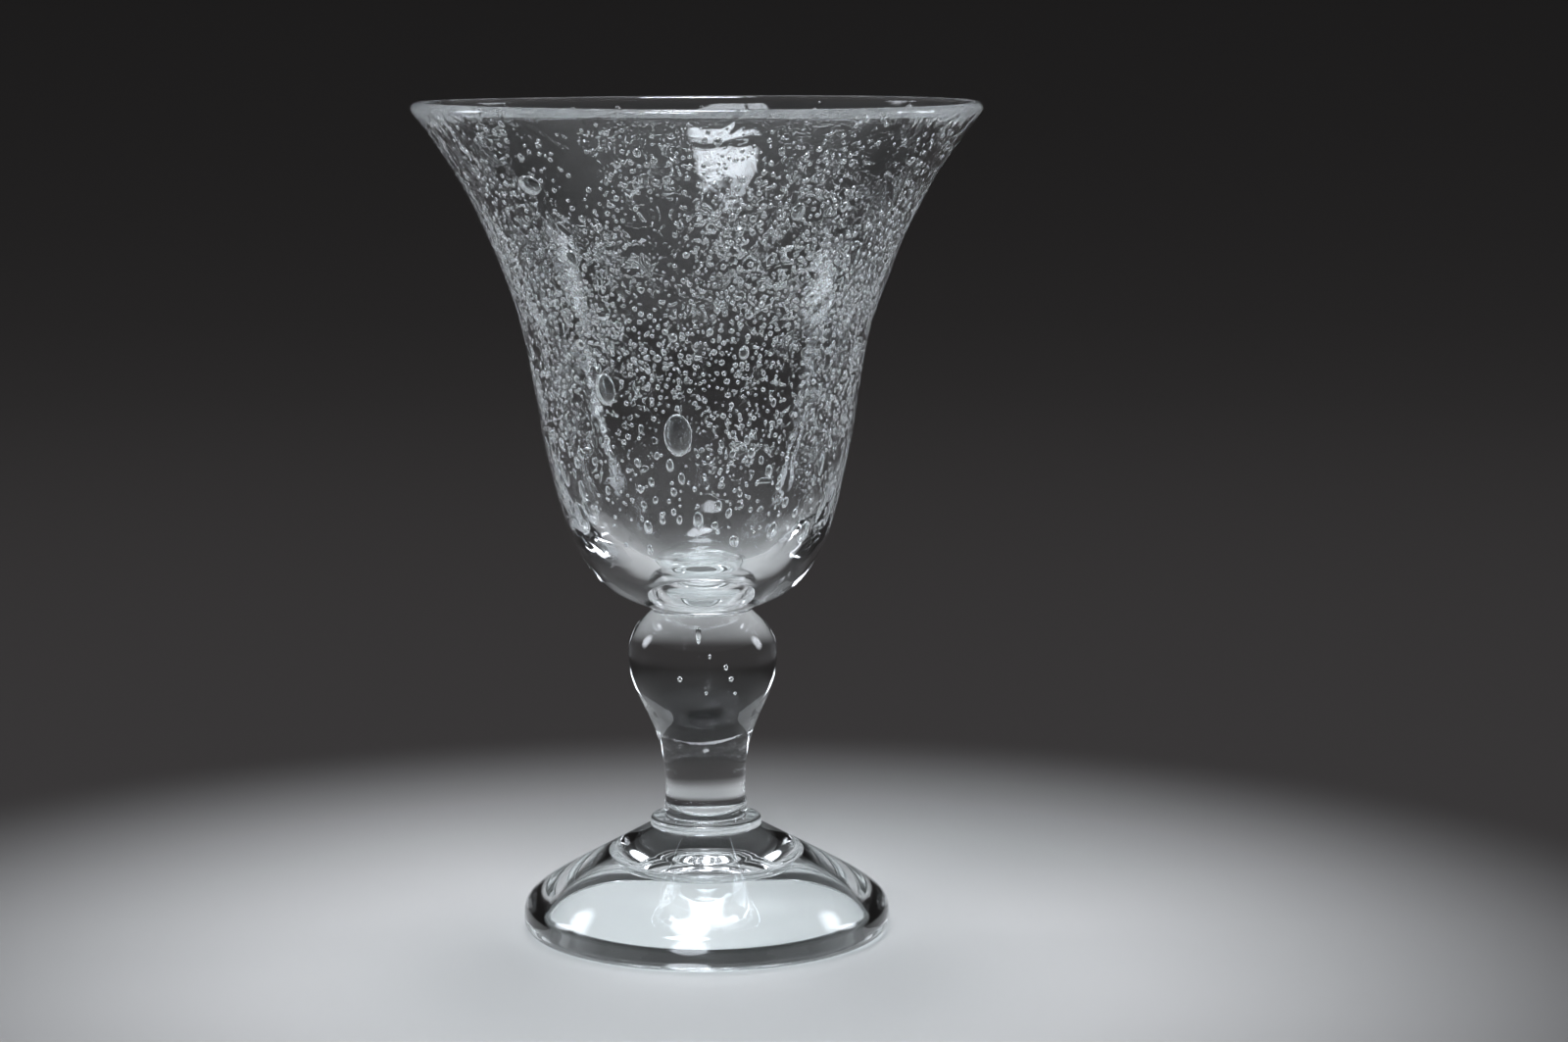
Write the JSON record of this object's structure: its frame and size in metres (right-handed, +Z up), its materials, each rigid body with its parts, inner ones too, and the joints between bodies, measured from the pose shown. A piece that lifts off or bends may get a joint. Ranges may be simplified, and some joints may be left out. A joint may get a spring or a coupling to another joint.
{
  "type": "stemmed glass",
  "caption": "Stemmed drinking glass with a flared bell-shaped bowl full of air bubbles, a solid knopped stem, a small collar and a wide conical foot.",
  "frame": {"origin": "on the glass's axis, in the plane that the foot stands on", "axes": "+Z up along the axis from foot to lip, -Y towards the side that the picture shows"},
  "size_m": [0.11, 0.11, 0.1624],
  "materials": {
    "clear_glass": "fire-polished clear soda-lime glass with air bubbles in the bowl"
  },
  "bodies": {
    "root": {"goblet": "clear_glass"}
  },
  "joints": []
}
